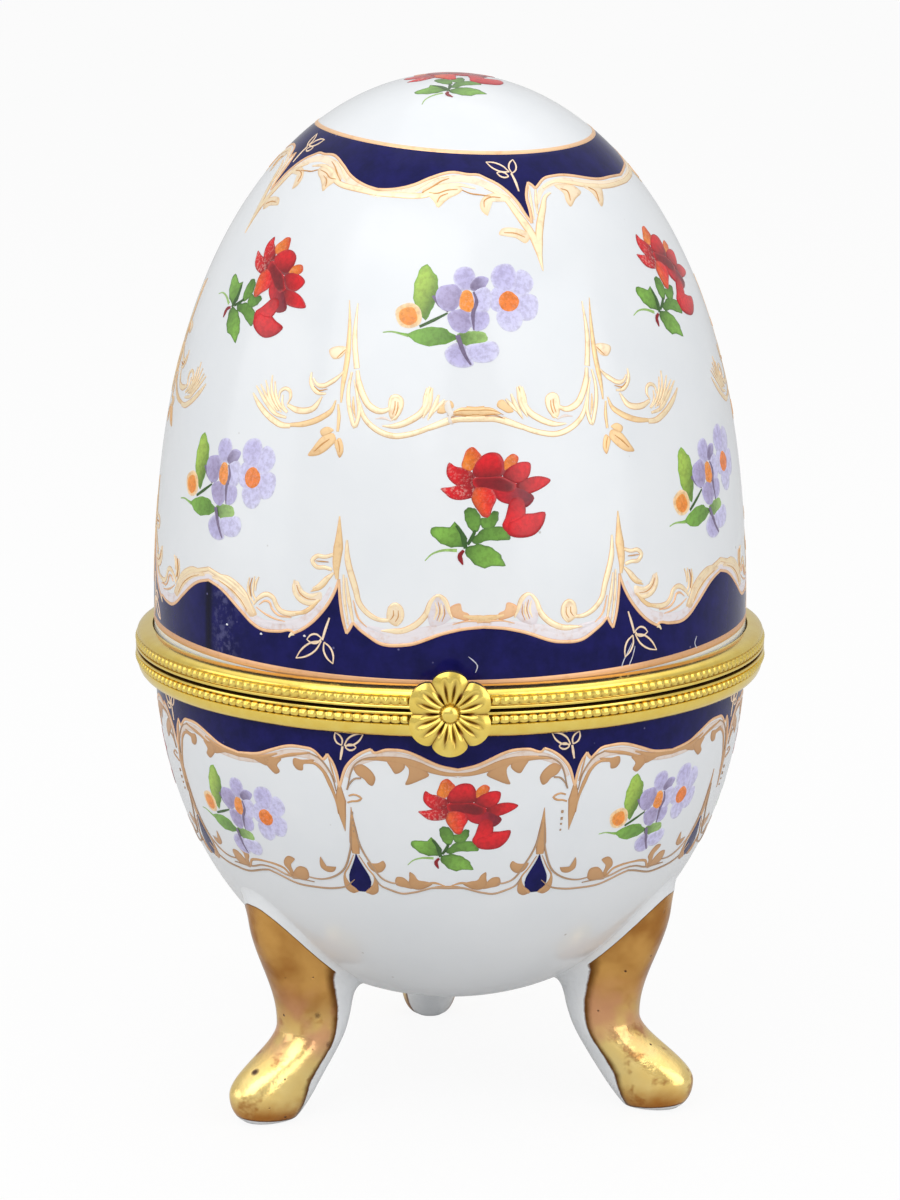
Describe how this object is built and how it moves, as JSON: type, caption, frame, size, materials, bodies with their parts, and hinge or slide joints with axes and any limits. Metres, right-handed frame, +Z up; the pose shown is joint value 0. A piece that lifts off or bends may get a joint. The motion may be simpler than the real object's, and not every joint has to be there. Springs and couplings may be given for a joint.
{
  "type": "porcelain trinket box",
  "caption": "Egg-shaped porcelain trinket box on gilt cabriole legs, with beaded brass bezels, a rear hinge and a flower clasp that holds the lid shut.",
  "frame": {"origin": "on the table, under the axis of the egg", "axes": "+Z up along the egg's axis, -Y towards the clasp, +Y towards the hinge, +X to the right of someone who faces the clasp"},
  "size_m": [0.0704, 0.0748, 0.114],
  "materials": {
    "porcelain": "clear glaze over white porcelain with cobalt bands, gilt scrolls and flower sprays",
    "gilded_porcelain": "burnished gold paint over glazed white porcelain",
    "polished_brass": "polished and lacquered",
    "cement": "matt plaster cement"
  },
  "bodies": {
    "base": {"base_bowl": "porcelain", "leg_front_left": "gilded_porcelain", "leg_front_right": "gilded_porcelain", "leg_back": "gilded_porcelain", "base_cement": "cement", "base_bezel": "polished_brass", "base_beading": "polished_brass", "base_hinge_leaf": "polished_brass", "hinge_pin": "polished_brass", "catch_stud": "polished_brass"},
    "lid": {"lid_shell": "porcelain", "lid_cement": "cement", "lid_bezel": "polished_brass", "lid_beading": "polished_brass", "lid_hinge_leaf": "polished_brass", "clasp_rosette": "polished_brass", "clasp_tongue": "polished_brass"}
  },
  "joints": [
    {"name": "lid_hinge", "type": "hinge", "parent": "base", "child": "lid", "pos_m": [0, 0.03625, 0.0512], "axis": [-1, 0, 0], "range_deg": [0, 95]}
  ]
}
